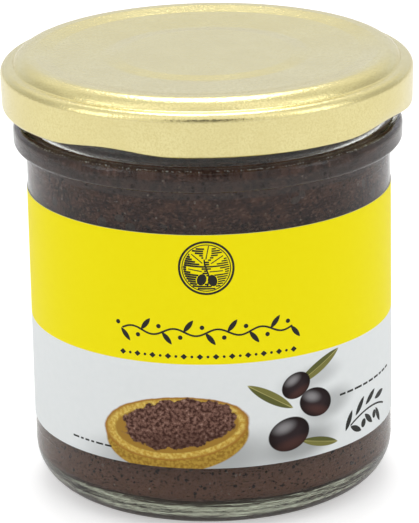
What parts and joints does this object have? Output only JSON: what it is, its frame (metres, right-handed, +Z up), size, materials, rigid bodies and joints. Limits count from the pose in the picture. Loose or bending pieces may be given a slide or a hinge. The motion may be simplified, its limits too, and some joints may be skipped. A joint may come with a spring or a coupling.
{
  "type": "jar of olive paste",
  "caption": "Small round clear glass jar of dark olive paste with a pale gold twist-off metal lid and a yellow and white wrap-around paper label.",
  "frame": {"origin": "middle of the base, on the plane that the bearing ring stands on", "axes": "+Z up along the jar's axis, -Y towards the front of the label, +X to the right of the label as seen from the front"},
  "size_m": [0.0664, 0.0664, 0.072],
  "materials": {
    "clear_glass": "smooth clear moulded glass with a faint green-grey tint",
    "olive_paste": "finely ground dark brown-purple olive paste, moist, seen through the glass",
    "gold_lacquered_tin": "pale gold lacquered tinplate, satin with soft highlights",
    "label_paper": null
  },
  "bodies": {
    "root": {"glass_jar": "clear_glass", "olive_paste": "olive_paste", "lid": "gold_lacquered_tin", "label": "label_paper"}
  },
  "joints": []
}
